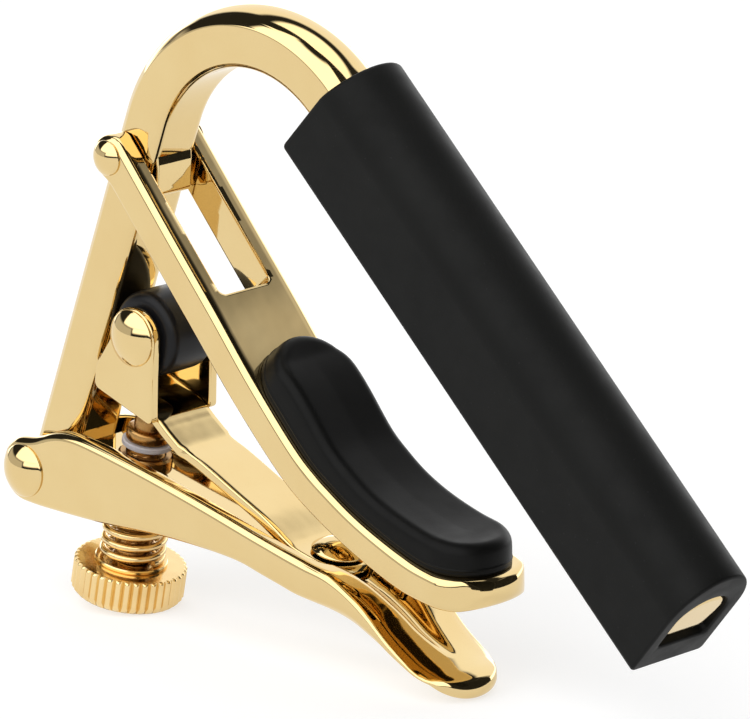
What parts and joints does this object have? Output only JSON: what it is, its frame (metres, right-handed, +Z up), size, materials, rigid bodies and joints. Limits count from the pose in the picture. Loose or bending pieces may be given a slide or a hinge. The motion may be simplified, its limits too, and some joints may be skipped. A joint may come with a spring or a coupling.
{
  "type": "guitar capo",
  "caption": "Over-centre roller guitar capo: a hooked bar with a rubber string sleeve, a padded neck cradle and a lever with a roller and a thumb screw.",
  "frame": {"origin": "centre of the footprint, on the surface the capo stands on", "axes": "+X from the lever pivot towards the open end of the neck gap, +Y across the width to the rear face, +Z up to the bend of the bar"},
  "size_m": [0.0886, 0.013, 0.0614],
  "materials": {
    "gold": "gold plated, mirror polished",
    "brass": "bare, satin",
    "spring_wire": "gold plated wire",
    "sleeve_rubber": "matt",
    "pad_rubber": "satin",
    "roller_rubber": "satin",
    "nylon": "satin"
  },
  "bodies": {
    "frame": {"main_bar": "gold", "string_sleeve": "sleeve_rubber", "cradle_rivet": "gold"},
    "cradle": {"cradle": "gold", "neck_pad": "pad_rubber"},
    "lever": {"lever": "gold", "lever_rivet": "gold", "lever_washer_front": "gold", "lever_washer_back": "gold", "leaf_rivet": "gold", "thread_bush": "brass", "screw_spring": "spring_wire"},
    "bracket": {"roller_bracket": "gold", "roller_rivet": "gold", "roller_washer_front": "nylon", "roller_washer_back": "nylon"},
    "roller": {"roller": "roller_rubber"},
    "screw_carrier": {"knob_washer": "gold"},
    "screw": {"adjusting_screw": "brass", "tip_collar": "nylon", "thumb_knob": "gold"}
  },
  "joints": [
    {"name": "cradle_swing", "type": "hinge", "parent": "frame", "child": "cradle", "pos_m": [-0.0284, 0, 0.0454], "axis": [0, 1, 0], "range_deg": [-8.5, 5]},
    {"name": "lever_swing", "type": "hinge", "parent": "frame", "child": "lever", "pos_m": [-0.0411, 0, 0.0126], "axis": [0, 1, 0], "range_deg": [0, 100]},
    {"name": "bracket_tilt", "type": "hinge", "parent": "lever", "child": "bracket", "pos_m": [-0.0043, 0, 0.01047], "axis": [0, 1, 0], "range_deg": [-1.6, 2.4]},
    {"name": "roller_spin", "type": "hinge", "parent": "bracket", "child": "roller", "pos_m": [-0.02675, 0, 0.02802], "axis": [0, 1, 0], "continuous": true},
    {"name": "screw_travel", "type": "slide", "parent": "lever", "child": "screw_carrier", "axis": [0.2079, 0, 0.9781], "range_m": [-0.00069, 0.00104], "deforming": ["screw_spring"]},
    {"name": "screw_turn", "type": "hinge", "parent": "screw_carrier", "child": "screw", "pos_m": [-0.02985, 0, 0.01468], "axis": [0.2079, 0, 0.9781], "range_deg": [-360, 540]}
  ],
  "couplings": [
    {"joint": "screw_turn", "follows": "screw_travel", "rad_per_m": 8976},
    {"joint": "bracket_tilt", "follows": "screw_travel", "rad_per_m": 37.7}
  ]
}
